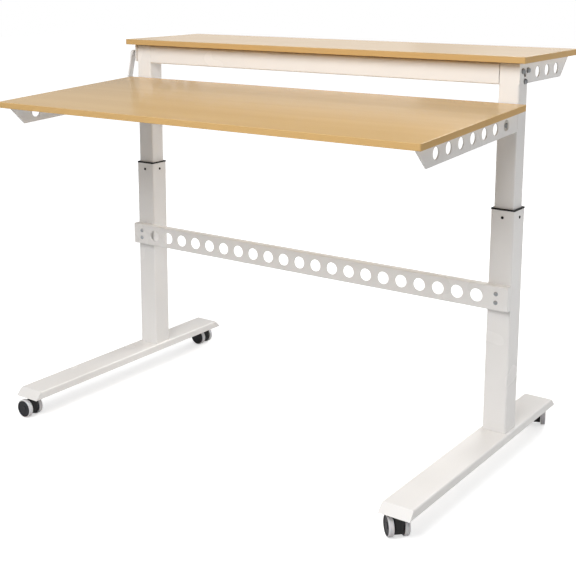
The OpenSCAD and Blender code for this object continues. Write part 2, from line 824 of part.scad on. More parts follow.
// Lead screw: it hangs in the gear housing by its gear and carries it on its thrust collar
module lead_screw(side) {
    collar_top = shaft_z - floor_bottom - thrust_gap;
    color(steel) at_column(side) {
        translate([0, 0, screw_bottom])
            cylinder(d = screw_d, h = collar_top - thrust_collar_t / 2 - screw_bottom);
        translate([0, 0, collar_top - thrust_collar_t]) cylinder(d = thrust_collar_d, h = thrust_collar_t);
        translate([0, 0, collar_top - eps]) cylinder(d = neck_d, h = shaft_z - neck_top - collar_top + eps);
    }
}

// The crank's own frame: x = 0 at the arm's outer face, the arm hanging along -z
module on_crank() {
    translate([arm_x - arm_t, column_y, shaft_z]) rotate([-crank_angle, 0, 0]) children();
}

module crank_arm() {
    color(cream) on_crank() difference() {
        union() {
            side_view(0, arm_t) {
                circle(d = arm_w);
                translate([0, -crank_len]) circle(d = arm_w);
                translate([-arm_w / 2, -crank_len]) square([arm_w, crank_len]);
            }
            along_x(arm_w, arm_t - eps, arm_t + arm_boss_t);
        }
        rotate([crank_angle, 0, 0]) hex_along_x(shaft_flats + 2 * fit_gap, -eps, arm_t + arm_boss_t + eps);
        translate([0, 0, -crank_len]) along_x(crank_bolt_d + 2 * fit_gap, -eps, arm_t + eps);
    }
}

// The cap on the shaft's end, and the shoulder bolt that carries the grip
module crank_bolts() {
    nut_t = 4;
    color(zinc) on_crank() {
        along_x(crank_head_d, -crank_head_t, 0);
        translate([0, 0, -crank_len]) {
            along_x(crank_bolt_d, -grip_gap - grip_len + crank_head_t, arm_t + nut_t);
            along_x(crank_head_d, -grip_gap - grip_len, -grip_gap - grip_len + crank_head_t);
            hex_along_x(crank_head_d, arm_t, arm_t + nut_t);
        }
    }
}

// Grip: a waisted handle that turns on the shoulder bolt
module crank_grip() {
    end_r = 4;
    waist = 2;
    bore = crank_bolt_d / 2 + running_gap;
    recess_r = crank_head_d / 2 + 1;
    recess = crank_head_t + grip_gap;
    swell_r = (pow(grip_len / 2, 2) + waist * waist) / (2 * waist);
    color(black) on_crank() translate([-grip_gap, 0, -crank_len]) rotate([0, -90, 0])
        rotate_extrude() difference() {
            union() {
                translate([0, end_r]) square([grip_d / 2, grip_len - 2 * end_r]);
                square([grip_d / 2 - end_r, grip_len]);
                for (z = [end_r, grip_len - end_r])
                    translate([grip_d / 2 - end_r, z]) circle(end_r);
            }
            translate([grip_d / 2 - waist + swell_r, grip_len / 2]) circle(swell_r, $fn = 400);
            translate([-grip_d, -eps]) square([grip_d + bore, grip_len + 2 * eps]);
            translate([0, grip_len - recess]) square([recess_r, recess + eps]);
        }
}

// A caster's own frame: its swivel axis is z, and its wheels trail towards +x
module on_caster(corner) {
    side = corner % 2 == 0 ? left : right;
    y = corner < 2 ? front_stem_y : rear_stem_y;
    translate([side * column_x, y, 0]) rotate(caster_turn[corner]) children();
}

// Hood: the body between the wheels, flat below, with the axle and the stem's socket
module caster_hood(corner) {
    boss_r = hood_w / 2;
    hood_floor = wheel_r - 16;
    brow_drop = 4;
    brow_angle = 40;
    color(black) on_caster(corner) difference() {
        union() {
            translate([0, hood_w / 2, 0]) rotate([90, 0, 0]) linear_extrude(hood_w) {
                translate([caster_trail, wheel_r]) circle(hood_r);
                polygon([[0, wheel_r], [0, hood_top - brow_drop], [boss_r / 2, hood_top - brow_drop],
                    [caster_trail + hood_r * sin(brow_angle), wheel_r + hood_r * cos(brow_angle)],
                    [caster_trail, wheel_r]]);
            }
            translate([0, 0, wheel_r]) cylinder(r = boss_r, h = hood_top - wheel_r);
            translate([caster_trail, 0, wheel_r]) along_y(axle_d, -axle_half, axle_half);
        }
        translate([-wheel_r, -hood_w, -eps]) cube([4 * wheel_r, 2 * hood_w, hood_floor + eps]);
        translate([0, 0, hood_top - stem_depth - stem_end_gap])
            cylinder(d = stem_d + 2 * running_gap, h = stem_depth + stem_end_gap + eps);
    }
}

// Turns an outline of radius and width into a wheel on the given side of the hood
module on_axle(corner, way) {
    on_caster(corner) translate([caster_trail, way * wheel_in, wheel_r])
        rotate([way * -90, 0, 0]) rotate_extrude() children();
}

// Wheel: a dished disc with its rim and hub, open towards the hood
module wheel(corner, way) {
    hub_r = 7;
    rim_t = 2.5;
    dish = 1.2;
    bore = axle_d / 2 + running_gap;
    color(black) on_axle(corner, way) difference() {
        union() {
            translate([0, wheel_w - wheel_web_t]) square([rim_r, wheel_web_t]);
            translate([rim_r - rim_t, fit_gap]) square([rim_t, wheel_w - fit_gap]);
            square([hub_r, wheel_w]);
        }
        translate([hub_r + 1, wheel_w - dish]) square([rim_r - rim_t - hub_r - 1, dish + eps]);
        translate([-eps, -eps]) square([bore + eps, wheel_w - wheel_web_t + eps]);
    }
}

// Tyre: soft grey tread with a large outer shoulder, a small inner one and a groove between
module tyre(corner, way) {
    shoulder = tyre_wall;
    inner_shoulder = 1.5;
    groove_r = 2;
    groove_depth = 0.7;
    color(tyre_grey) on_axle(corner, way) difference() {
        union() {
            translate([0, inner_shoulder]) square([wheel_r, wheel_w - shoulder - inner_shoulder]);
            square([wheel_r - inner_shoulder, wheel_w - shoulder]);
            square([wheel_r - shoulder, wheel_w]);
            translate([wheel_r - shoulder, wheel_w - shoulder]) circle(shoulder);
            translate([wheel_r - inner_shoulder, inner_shoulder]) circle(inner_shoulder);
        }
        translate([wheel_r + groove_r - groove_depth, wheel_w / 2]) circle(groove_r);
        translate([-wheel_r, -eps]) square([2 * wheel_r - tyre_wall, wheel_w + 2 * eps]);
        translate([-2 * wheel_r, -wheel_r]) square([2 * wheel_r, 3 * wheel_r]);
    }
}

front_left = 0;
front_right = 1;
rear_left = 2;
rear_right = 3;
inner = -1;
outer = 1;

at_origin() foot(left);  // left_foot
at_origin() foot(right);  // right_foot
at_origin() outer_tube(left);  // left_outer_tube
at_origin() outer_tube(right);  // right_outer_tube
at_origin() collar(left);  // left_collar
at_origin() collar(right);  // right_collar
at_origin() collar_plugs();
at_origin() cross_rail();
at_origin() rail_bolts();
at_origin() nut_post(left);  // left_nut_post
at_origin() nut_post(right);  // right_nut_post
at_origin() lift_nut(left);  // left_lift_nut
at_origin() lift_nut(right);  // right_lift_nut
at_origin() caster_stems();
at_origin() inner_tube(left);  // left_inner_tube
at_origin() inner_tube(right);  // right_inner_tube
at_origin() lower_glide(left);  // left_lower_glide
at_origin() lower_glide(right);  // right_lower_glide
at_origin() upper_beam();
at_origin() desk_bracket(left);  // left_desk_bracket
at_origin() desk_bracket(right);  // right_desk_bracket
at_origin() shelf_bracket(left);  // left_shelf_bracket
at_origin() shelf_bracket(right);  // right_shelf_bracket
at_origin() desktop();
at_origin() shelf();
at_origin() bracket_bolts();
at_origin() board_screws();
at_origin() gear_housing(left);  // left_gear_housing
at_origin() gear_housing(right);  // right_gear_housing
at_origin() cross_shaft();
at_origin() shaft_bushes();
at_origin() drive_gear(left);  // left_drive_gear
at_origin() drive_gear(right);  // right_drive_gear
at_origin() crank_arm();
at_origin() crank_bolts();
at_origin() crank_grip();
at_origin() lead_screw(left);  // left_lead_screw
at_origin() lead_screw(right);  // right_lead_screw
at_origin() screw_gear(left);  // left_screw_gear
at_origin() screw_gear(right);  // right_screw_gear
at_origin() caster_hood(front_left);  // front_left_caster_hood
at_origin() caster_hood(front_right);  // front_right_caster_hood
at_origin() caster_hood(rear_left);  // rear_left_caster_hood
at_origin() caster_hood(rear_right);  // rear_right_caster_hood
at_origin() wheel(front_left, inner);  // front_left_inner_wheel
at_origin() wheel(front_left, outer);  // front_left_outer_wheel
at_origin() wheel(front_right, inner);  // front_right_inner_wheel
at_origin() wheel(front_right, outer);  // front_right_outer_wheel
at_origin() wheel(rear_left, inner);  // rear_left_inner_wheel
at_origin() wheel(rear_left, outer);  // rear_left_outer_wheel
at_origin() wheel(rear_right, inner);  // rear_right_inner_wheel
at_origin() wheel(rear_right, outer);  // rear_right_outer_wheel
at_origin() tyre(front_left, inner);  // front_left_inner_tyre
at_origin() tyre(front_left, outer);  // front_left_outer_tyre
at_origin() tyre(front_right, inner);  // front_right_inner_tyre
at_origin() tyre(front_right, outer);  // front_right_outer_tyre
at_origin() tyre(rear_left, inner);  // rear_left_inner_tyre
at_origin() tyre(rear_left, outer);  // rear_left_outer_tyre
at_origin() tyre(rear_right, inner);  // rear_right_inner_tyre
at_origin() tyre(rear_right, outer);  // rear_right_outer_tyre
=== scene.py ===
"""Hand-crank standing desk on casters: its finishes and small details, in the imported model's frame."""

import math

import bmesh
import bpy
from mathutils import Matrix, Vector


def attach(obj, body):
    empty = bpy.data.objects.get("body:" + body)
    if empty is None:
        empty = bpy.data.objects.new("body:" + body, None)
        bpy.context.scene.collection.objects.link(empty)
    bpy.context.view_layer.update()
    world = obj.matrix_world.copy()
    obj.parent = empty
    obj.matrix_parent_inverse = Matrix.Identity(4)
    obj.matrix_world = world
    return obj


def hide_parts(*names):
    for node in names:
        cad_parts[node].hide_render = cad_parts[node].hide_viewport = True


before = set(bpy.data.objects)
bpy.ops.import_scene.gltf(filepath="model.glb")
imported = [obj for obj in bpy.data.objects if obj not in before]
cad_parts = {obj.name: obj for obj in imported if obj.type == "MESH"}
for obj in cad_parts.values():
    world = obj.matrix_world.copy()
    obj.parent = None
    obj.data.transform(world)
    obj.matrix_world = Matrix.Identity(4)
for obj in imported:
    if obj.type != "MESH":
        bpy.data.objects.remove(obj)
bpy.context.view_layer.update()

MM = 0.001
SIDES = ("left", "right")
CORNERS = ("front_left", "front_right", "rear_left", "rear_right")
WHEELS = ("inner", "outer")

# Which solids share a finish
POWDER_COATED = [
    "left_foot", "right_foot", "left_outer_tube", "right_outer_tube", "cross_rail",
    "left_inner_tube", "right_inner_tube", "upper_beam", "crank_arm",
    "left_desk_bracket", "right_desk_bracket", "left_shelf_bracket", "right_shelf_bracket",
]
BOARDS = ["desktop", "shelf"]
BLACK_MOULDED = ["left_collar", "right_collar", "collar_plugs"]
GRIP = ["crank_grip"]
ZINC_PLATED = ["rail_bolts", "caster_stems", "crank_bolts"]
DRAWN_BAR = ["cross_shaft"]
TURNED_STEEL = [f"{side}_{piece}" for side in SIDES
                for piece in ("nut_post", "gear_housing", "drive_gear", "screw_gear")]
BRONZE = [f"{side}_lift_nut" for side in SIDES]
NYLON = [f"{side}_lower_glide" for side in SIDES] + ["shaft_bushes"]
CASTER_HOODS = [f"{corner}_caster_hood" for corner in CORNERS]
CASTER_WHEELS = [f"{corner}_{which}_wheel" for corner in CORNERS for which in WHEELS]
CASTER_TYRES = [f"{corner}_{which}_tyre" for corner in CORNERS for which in WHEELS]

# Sockets by their place: Map Range's limits, a Mix's share, and a colour Mix's two tones and result
FROM_LOW, FROM_HIGH, TO_LOW, TO_HIGH = 1, 2, 3, 4
SHARE, TONE_A, TONE_B = 0, 6, 7
MIXED = 2


def linear(hex_colour):
    """An sRGB colour such as #d9b57f, as the linear colour that a shader takes."""
    shares = [int(hex_colour[i:i + 2], 16) / 255 for i in (1, 3, 5)]
    return [s / 12.92 if s <= 0.04045 else ((s + 0.055) / 1.055) ** 2.4 for s in shares] + [1.0]


def per_metre(size_mm):
    """How many features of that size lie in a metre, as a pattern's scale."""
    return 1 / (size_mm * MM)


def grain(long_mm, across_mm):
    """A pattern's scale for features that are drawn out along x."""
    return per_metre(long_mm), per_metre(across_mm), per_metre(across_mm)


def node(tree, kind, inputs, **settings):
    """Adds a shader node. An input goes by its name, or by its place where names repeat or run long.
    It is a constant, a socket, or a node whose first output it takes."""
    made = tree.nodes.new("ShaderNode" + kind)
    for name, value in settings.items():
        setattr(made, name, value)
    for name, value in inputs.items():
        if isinstance(value, bpy.types.Node):
            value = value.outputs[0]
        if isinstance(value, bpy.types.NodeSocket):
            tree.links.new(value, made.inputs[name])
        else:
            made.inputs[name].default_value = value
    return made


def material(name):
    made = bpy.data.materials.new(name)
    made.use_nodes = True
    made.node_tree.nodes.clear()
    return made, made.node_tree


def powder_coat():
    """Polyester powder coat on steel, sprayed and baked.
    The eye sees a satin near white, with the faint swell of orange peel."""
    made, tree = material("cream_powder_coat")
    place = node(tree, "TexCoord", {}).outputs["Object"]
    # The coat lies a little thicker or thinner over a hand's breadth
    cloud = node(tree, "TexNoise", {"Vector": place, "Scale": per_metre(140)})
    tone = node(tree, "Mix", {SHARE: cloud, TONE_A: linear("#e8e6e4"), TONE_B: linear("#edebe9")},
                data_type="RGBA")
    gloss = node(tree, "MapRange", {
        "Value": cloud, FROM_LOW: 0.3, FROM_HIGH: 0.7, TO_LOW: 0.22, TO_HIGH: 0.28})
    # The peel of a real coat is about 1 mm across, and it is drawn at 3 mm so that it shows
    peel = node(tree, "TexNoise", {"Vector": place, "Scale": per_metre(3), "Detail": 1.0})
    # Paint draws back from a cut edge and rounds it
    round_edge = node(tree, "Bevel", {"Radius": 0.8 * MM}, samples=4)
    swell = node(tree, "Bump", {"Height": peel, "Distance": 0.02 * MM, "Normal": round_edge})
    skin = node(tree, "BsdfPrincipled", {
        "Base Color": tone.outputs[MIXED], "Roughness": gloss, "Normal": swell, "IOR": 1.5})
    node(tree, "OutputMaterial", {"Surface": skin})
    return made


def beech_board():
    """Melamine-faced board, pressed with a beech print, and an edge band of plain ABS ironed on.
    The eye sees an even honey colour with short darker flecks, and a satin face that pales towards
    the light."""
    made, tree = material("beech_melamine")
    where = node(tree, "TexCoord", {})
    place = where.outputs["Object"]
    # Growth bands run along the board, with fibres and short flecks in them. Beech flecks are about
    # 1 mm wide and a few millimetres long, and they are drawn larger so that they show
    along = node(tree, "Mapping", {"Vector": place, "Scale": grain(900, 46)})
    bands = node(tree, "TexNoise", {"Vector": along, "Scale": 1.0, "Detail": 3.0})
    fibres = node(tree, "Mapping", {"Vector": place, "Scale": grain(60, 2.2)})
    fibre = node(tree, "TexNoise", {"Vector": fibres, "Scale": 1.0})
    flecks = node(tree, "Mapping", {"Vector": place, "Scale": grain(14, 1.6)})
    fleck = node(tree, "TexNoise", {"Vector": flecks, "Scale": 1.0, "Detail": 1.0})

    broad = node(tree, "MapRange", {"Value": bands, FROM_LOW: 0.3, FROM_HIGH: 0.7})
    banded = node(tree, "Mix", {SHARE: broad, TONE_A: linear("#cfa764"), TONE_B: linear("#d5ae6b")},
                  data_type="RGBA")
    fine = node(tree, "MapRange", {
        "Value": fibre, FROM_LOW: 0.45, FROM_HIGH: 0.8, TO_LOW: 0.0, TO_HIGH: 0.16})
    fibred = node(tree, "Mix", {SHARE: fine, TONE_A: banded.outputs[MIXED], TONE_B: linear("#c0945a")},
                  data_type="RGBA")
    short = node(tree, "MapRange", {
        "Value": fleck, FROM_LOW: 0.62, FROM_HIGH: 0.74, TO_LOW: 0.0, TO_HIGH: 0.12})
    printed = node(tree, "Mix", {SHARE: short, TONE_A: fibred.outputs[MIXED], TONE_B: linear("#b3854b")},
                   data_type="RGBA")
    band_share = node(tree, "MapRange", {
        "Value": fibre, FROM_LOW: 0.3, FROM_HIGH: 0.7, TO_LOW: 0.0, TO_HIGH: 0.5})
    band = node(tree, "Mix", {SHARE: band_share, TONE_A: linear("#c5a068"), TONE_B: linear("#cca76f")},
                data_type="RGBA")

    # The face looks up or down, and the band looks sideways
    upward = node(tree, "SeparateXYZ", {"Vector": where.outputs["Normal"]}).outputs["Z"]
    steep = node(tree, "Math", {0: upward}, operation="ABSOLUTE")
    on_face = node(tree, "MapRange", {"Value": steep, FROM_LOW: 0.75, FROM_HIGH: 0.85})
    tone = node(tree, "Mix", {SHARE: on_face, TONE_A: band.outputs[MIXED], TONE_B: printed.outputs[MIXED]},
                data_type="RGBA")
    face_gloss = node(tree, "MapRange", {
        "Value": fibre, FROM_LOW: 0.2, FROM_HIGH: 0.8, TO_LOW: 0.2, TO_HIGH: 0.24})
    gloss = node(tree, "MapRange", {"Value": on_face, TO_LOW: 0.45, TO_HIGH: face_gloss})
    shine = node(tree, "MapRange", {"Value": on_face, TO_LOW: 0.25, TO_HIGH: 0.5})
    pore = node(tree, "MapRange", {
        "Value": fleck, FROM_LOW: 0.5, FROM_HIGH: 0.8, TO_LOW: 1.0, TO_HIGH: 0.0})
    relief = node(tree, "Bump", {"Height": pore, "Distance": 0.001 * MM})
    skin = node(tree, "BsdfPrincipled", {
        "Base Color": tone.outputs[MIXED], "Roughness": gloss, "Normal": relief, "IOR": 1.55,
        "Specular IOR Level": shine})
    node(tree, "OutputMaterial", {"Surface": skin})
    return made


def moulded_plastic(name, colour, lighter, grain_mm, roughness, ior, specular):
    """Injection-moulded plastic: one colour through and through, with the fine spark grain of its mould."""
    made, tree = material(name)
    place = node(tree, "TexCoord", {}).outputs["Object"]
    # The melt's flow leaves clouds about 25 mm across
    cloud = node(tree, "TexNoise", {"Vector": place, "Scale": per_metre(25)})
    tone = node(tree, "Mix", {SHARE: cloud, TONE_A: linear(colour), TONE_B: linear(lighter)},
                data_type="RGBA")
    spark = node(tree, "TexNoise", {"Vector": place, "Scale": per_metre(grain_mm)})
    gloss = node(tree, "MapRange", {
        "Value": spark, FROM_LOW: 0.3, FROM_HIGH: 0.7, TO_LOW: roughness, TO_HIGH: roughness + 0.12})
    relief = node(tree, "Bump", {"Height": spark, "Distance": 0.03 * MM})
    skin = node(tree, "BsdfPrincipled", {
        "Base Color": tone.outputs[MIXED], "Roughness": gloss, "Normal": relief, "IOR": ior,
        "Specular IOR Level": specular})
    node(tree, "OutputMaterial", {"Surface": skin})
    return made


def polyurethane_tread():
    """Cast polyurethane tread: pale grey, a little waxy, with a scuffed running surface."""
    made, tree = material("grey_polyurethane")
    place = node(tree, "TexCoord", {}).outputs["Object"]
    scuff = node(tree, "TexNoise", {"Vector": place, "Scale": per_metre(2.5), "Detail": 3.0})
    tone = node(tree, "Mix", {SHARE: scuff, TONE_A: linear("#cfcdcf"), TONE_B: linear("#dddbdc")},
                data_type="RGBA")
    gloss = node(tree, "MapRange", {
        "Value": scuff, FROM_LOW: 0.3, FROM_HIGH: 0.7, TO_LOW: 0.36, TO_HIGH: 0.52})
    relief = node(tree, "Bump", {"Height": scuff, "Distance": 0.04 * MM})
    skin = node(tree, "BsdfPrincipled", {
        "Base Color": tone.outputs[MIXED], "Roughness": gloss, "Normal": relief, "IOR": 1.5,
        "Subsurface Weight": 0.08, "Subsurface Scale": 2 * MM})
    node(tree, "OutputMaterial", {"Surface": skin})
    return made


def bare_metal(name, colour, darker, marks_mm, roughness, depth_mm):
    """Bare metal: its colour comes from its reflection, broken up by the marks of how it was made."""
    made, tree = material(name)
    place = node(tree, "TexCoord", {}).outputs["Object"]
    drawn = node(tree, "Mapping", {"Vector": place, "Scale": [per_metre(size) for size in marks_mm]})
    marks = node(tree, "TexNoise", {"Vector": drawn, "Scale": 1.0, "Detail": 3.0})
    tone = node(tree, "Mix", {SHARE: marks, TONE_A: linear(darker), TONE_B: linear(colour)},
                data_type="RGBA")
    gloss = node(tree, "MapRange", {
        "Value": marks, FROM_LOW: 0.25, FROM_HIGH: 0.75, TO_LOW: roughness, TO_HIGH: roughness + 0.14})
    relief = node(tree, "Bump", {"Height": marks, "Distance": depth_mm * MM})
    skin = node(tree, "BsdfPrincipled", {
        "Base Color": tone.outputs[MIXED], "Roughness": gloss, "Normal": relief, "Metallic": 1.0})
    node(tree, "OutputMaterial", {"Surface": skin})
    return made


def finish_nodes(names, made):
    for name in names:
        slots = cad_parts[name].data.materials
        slots.clear()
        slots.append(made)


# Bolts and stems in a middling grey. Their washers are spring steel in a darker grey, and that darker grey
# also paints in the shade round the bolt heads
zinc = bare_metal("zinc_plated_steel", "#bcbfc2", "#989ca1",
                  marks_mm=(1.5, 1.5, 1.5), roughness=0.24, depth_mm=0.01)
spring_steel_and_shade = bare_metal("spring_steel_and_shade", "#8d8b88", "#6f6d6a",
                          marks_mm=(1.5, 1.5, 1.5), roughness=0.34, depth_mm=0.01)
finish_nodes(POWDER_COATED, powder_coat())
finish_nodes(BOARDS, beech_board())
# A dull, slightly warm black round the tubes' mouths
finish_nodes(BLACK_MOULDED, moulded_plastic(
    "black_polypropylene", "#0d0c0b", "#131211", grain_mm=0.8, roughness=0.55, ior=1.46, specular=0.3))
# The hoods are black, with more shine, and the wheels a charcoal that tells them from the hoods
finish_nodes(CASTER_HOODS, moulded_plastic(
    "black_nylon", "#121213", "#19191b", grain_mm=0.9, roughness=0.45, ior=1.53, specular=0.4))
finish_nodes(CASTER_WHEELS, moulded_plastic(
    "charcoal_nylon", "#242428", "#2c2c31", grain_mm=0.9, roughness=0.42, ior=1.53, specular=0.4))
# Dull black, with the coarsest grain of these plastics
finish_nodes(GRIP, moulded_plastic(
    "black_grip_rubber", "#161617", "#202022", grain_mm=1.2, roughness=0.55, ior=1.5, specular=0.4))
# Undyed, so a milky white
finish_nodes(NYLON, moulded_plastic(
    "natural_nylon", "#e4e1d6", "#efece2", grain_mm=1.0, roughness=0.4, ior=1.53, specular=0.5))
finish_nodes(CASTER_TYRES, polyurethane_tread())
finish_nodes(ZINC_PLATED, zinc)
# Fine rings of a lathe tool round an upright axis. Housings and drive gears get the same marks
turned_steel = bare_metal("turned_steel", "#aeb0b3", "#85888c",
                          marks_mm=(6, 6, 0.6), roughness=0.3, depth_mm=0.02)
finish_nodes(TURNED_STEEL, turned_steel)
# Bright drawn hexagon bar: paler than the zinc, with die lines along it
finish_nodes(DRAWN_BAR, bare_metal("bright_drawn_steel", "#e0e1e2", "#c6c8ca",
                                   marks_mm=(30, 0.8, 0.8), roughness=0.32, depth_mm=0.01))
# Brownish yellow, with rings like those of the turned steel
finish_nodes(BRONZE, bare_metal("bearing_bronze", "#c29a5c", "#9b7640",
                                marks_mm=(5, 5, 0.7), roughness=0.3, depth_mm=0.02))


def weld(build):
    """Joins vertices that lie within a thousandth of a millimetre of each other."""
    bmesh.ops.remove_doubles(build, verts=build.verts, dist=0.001 * MM)


def parts_of(name):
    """The separate solids of a CAD node, each as its lowest and highest corner."""
    joined = bmesh.new()
    joined.from_mesh(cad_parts[name].data)
    weld(joined)
    left = set(joined.verts)
    boxes = []
    while left:
        reached = [left.pop()]
        for vert in reached:
            for edge in vert.link_edges:
                other = edge.other_vert(vert)
                if other in left:
                    left.remove(other)
                    reached.append(other)
        places = [vert.co for vert in reached]
        boxes.append((Vector([min(p[i] for p in places) for i in range(3)]),
                      Vector([max(p[i] for p in places) for i in range(3)])))
    joined.free()
    return sorted(boxes, key=lambda box: tuple(round(v, 4) for v in box[0]))


def foot_of(low, high):
    """The middle of a box's underside."""
    return Vector(((low.x + high.x) / 2, (low.y + high.y) / 2, low.z))


def turns(steps):
    """The angles of that many even steps round a circle."""
    return [2 * math.pi * k / steps for k in range(steps)]


def ring(build, place, along, radii):
    """Vertices round the place's x axis at even angles, with their radii and their place along it in mm."""
    return [build.verts.new(place @ Vector((along * MM, r * MM * math.cos(turn), r * MM * math.sin(turn))))
            for r, turn in zip(radii, turns(len(radii)))]


def bridge(build, first, second, slot=0):
    """Faces between two rings, one of which can be a single vertex on the axis."""
    for k in range(max(len(first), len(second))):
        corners = [first[k % len(first)], first[(k + 1) % len(first)],
                   second[(k + 1) % len(second)], second[k % len(second)]]
        face = build.faces.new(list(dict.fromkeys(corners)))
        face.material_index = slot


def lathe(build, profile, place, steps, slot=0, share_at=None):
    """Turns pairs of distance along the axis and radius, in mm, round the place's x axis.
    share_at gives the share of the radius at an angle, where the piece isn't round."""
    shares = [share_at(turn) if share_at else 1 for turn in turns(steps)]
    rings = []
    for along, radius in profile:
        radii = [radius * share for share in shares] if radius else [0]
        rings.append(ring(build, place, along, radii))
    for first, second in zip(rings, rings[1:]):
        bridge(build, first, second, slot)


def hexagon(turn):
    """The radius of a hexagon at an angle, as a share of the radius to its flats."""
    return 1 / math.cos((turn + math.pi / 6) % (math.pi / 3) - math.pi / 6)


SMOOTH_BELOW = math.radians(35)
# Stands a lathe's axis upright
UPRIGHT = Matrix.Rotation(-math.pi / 2, 4, "Y")


def add_piece(name, build, finishes, body, replaced):
    """Makes the mesh an object that rides on the body and stands for a CAD node."""
    bmesh.ops.recalc_face_normals(build, faces=build.faces)
    mesh = bpy.data.meshes.new(name)
    build.to_mesh(mesh)
    build.free()
    for finish in finishes:
        mesh.materials.append(finish)
    mesh.shade_smooth()
    mesh.set_sharp_from_angle(angle=SMOOTH_BELOW)
    piece = bpy.data.objects.new(name, mesh)
    bpy.context.scene.collection.objects.link(piece)
    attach(piece, body)
    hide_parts(replaced)


# Bracket bolts: chamfered hexagon heads on washers whose darker grey is partly painted shade, in mm
BOLT_R, BOLT_STEPS, EDGE_BREAK = 3.0, 24, 0.3
WASHER_R, WASHER_T = 6.5, 1.5
HEAD_T, HEAD_FLATS_R, HEAD_CHAMFER_T, HEAD_LIP_T = 4.0, 5.0, 0.9, 0.1
HEAD_TOP_R, HEAD_SEAT_R = 0.86 * HEAD_FLATS_R, 0.9 * HEAD_FLATS_R
HEAD_AND_WASHER_T = WASHER_T + HEAD_T


def bolt_with_washer(build, place, length):
    """Head at the low end of x, and its length in mm counted from the washer's seat."""
    lathe(build, [(-WASHER_T, 0), (-WASHER_T, WASHER_R - EDGE_BREAK), (-WASHER_T + EDGE_BREAK, WASHER_R),
                  (0, WASHER_R), (0, BOLT_R), (length - 2 * EDGE_BREAK, BOLT_R),
                  (length, BOLT_R - 2 * EDGE_BREAK), (length, 0)], place, BOLT_STEPS, slot=1)
    top = -HEAD_AND_WASHER_T
    lathe(build, [(-WASHER_T, 0), (-WASHER_T, HEAD_SEAT_R), (-WASHER_T - HEAD_LIP_T, HEAD_FLATS_R),
                  (top + HEAD_CHAMFER_T, HEAD_FLATS_R), (top, HEAD_TOP_R), (top, 0)],
          place, BOLT_STEPS, share_at=hexagon)


def make_bracket_bolts():
    build = bmesh.new()
    clearly_over_washer = 1.05 * 2 * WASHER_R * MM
    for low, high in parts_of("bracket_bolts"):
        middle, span = (low + high) / 2, high - low
        if span.x > clearly_over_washer:
            # Through the bracket's web, from the outside
            way = 1 if middle.x < 0 else -1
            head_end = low.x if way > 0 else high.x
            seat = Vector((head_end + way * HEAD_AND_WASHER_T * MM, middle.y, middle.z))
            turned = Matrix.Rotation(0 if way > 0 else math.pi, 4, "Z")
            whole = span.x
        else:
            # Through the bracket's flange, from the front
            seat = Vector((middle.x, low.y + HEAD_AND_WASHER_T * MM, middle.z))
            turned = Matrix.Rotation(math.pi / 2, 4, "Z")
            whole = span.y
        bolt_with_washer(build, Matrix.Translation(seat) @ turned, whole / MM - HEAD_AND_WASHER_T)
    weld(build)
    # Slot 1 is the washers' steel, darkened partly as painted shade round the heads
    add_piece("bracket_bolt_set", build, [zinc, spring_steel_and_shade], "lift", "bracket_bolts")


# Lead screws: a right-handed trapezoidal thread with two starts, 3 mm from crest to crest, so 6 mm a turn
THREAD_PITCH, THREAD_STARTS, THREAD_DEPTH = 3.0, 2, 1.5
# How much of the pitch the crest takes, and the root as much. The flanks slope over the rest
CREST_SHARE = 0.35
THREAD_STEPS, ROWS_A_PITCH, COLLAR_STEPS = 20, 4, 40
SCREW_R, THRUST_COLLAR_R, NECK_R = 8.0, 13.0, 5.0
SCREW_END_CHAMFER, PLAIN_SHANK, COLLAR_EDGE_BREAK = 2.0, 6.0, 0.4


def thread_radius(along, turn):
    """The rod's radius in mm, at a distance from its chamfered end and an angle round it."""
    if along < SCREW_END_CHAMFER:
        return SCREW_R - SCREW_END_CHAMFER + along
    share = (along / THREAD_PITCH - THREAD_STARTS * turn / (2 * math.pi)) % 1
    from_crest = abs(2 * share - 1)
    height = min(max((1 - CREST_SHARE - from_crest) / (1 - 2 * CREST_SHARE), 0), 1)
    return SCREW_R - THREAD_DEPTH * (1 - height)


def threaded_rod(build, place, length):
    """Rod along x in mm from its chamfered end, with a plain shank under the collar."""
    rows = round(length / THREAD_PITCH * ROWS_A_PITCH)
    rings = []
    for n in range(rows + 1):
        along = length * n / rows
        if along < length - PLAIN_SHANK:
            radii = [thread_radius(along, turn) for turn in turns(THREAD_STEPS)]
        else:
            radii = [SCREW_R] * THREAD_STEPS
        rings.append(ring(build, place, along, radii))
    for first, second in zip(rings, rings[1:]):
        bridge(build, first, second)
    build.faces.new(rings[0])
    build.faces.new(rings[-1])


def make_threaded_screw(side):
    smooth = f"{side}_lead_screw"
    [(low, high)] = parts_of(smooth)
    foot = foot_of(low, high)
    # Only the thrust collar reaches that far from the axis
    collar = [v.co.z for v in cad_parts[smooth].data.vertices
              if (v.co.xy - foot.xy).length > 0.9 * THRUST_COLLAR_R * MM]
    under, over = (min(collar) - low.z) / MM, (max(collar) - low.z) / MM
    top = (high.z - low.z) / MM
    build = bmesh.new()
    place = Matrix.Translation(foot) @ UPRIGHT
    threaded_rod(build, place, under)
    edge = COLLAR_EDGE_BREAK
    lathe(build, [(under, 0), (under, THRUST_COLLAR_R - edge), (under + edge, THRUST_COLLAR_R),
                  (over - edge, THRUST_COLLAR_R), (over, THRUST_COLLAR_R - edge), (over, NECK_R),
                  (top - edge, NECK_R), (top, NECK_R - edge), (top, 0)], place, COLLAR_STEPS)
    add_piece(f"{side}_threaded_screw", build, [turned_steel], f"{side}_screw", f"{side}_lead_screw")


# Board screws: pan heads with a cross recess, seen from under the boards, in mm
PAN_T, CROWN_SHARE, SCREW_STEPS = 2.5, 0.7, 24
SHOULDER_AT, SHOULDER_SHARE, SIDE_AT = 0.35, 0.9, 1.1
BOARD_SCREW_R, POINT_T = 2.0, 4
RECESS_HALF, RECESS_ARM, RECESS_DEPTH, RECESS_TAPER = 0.55, 2.2, 1.3, 0.7


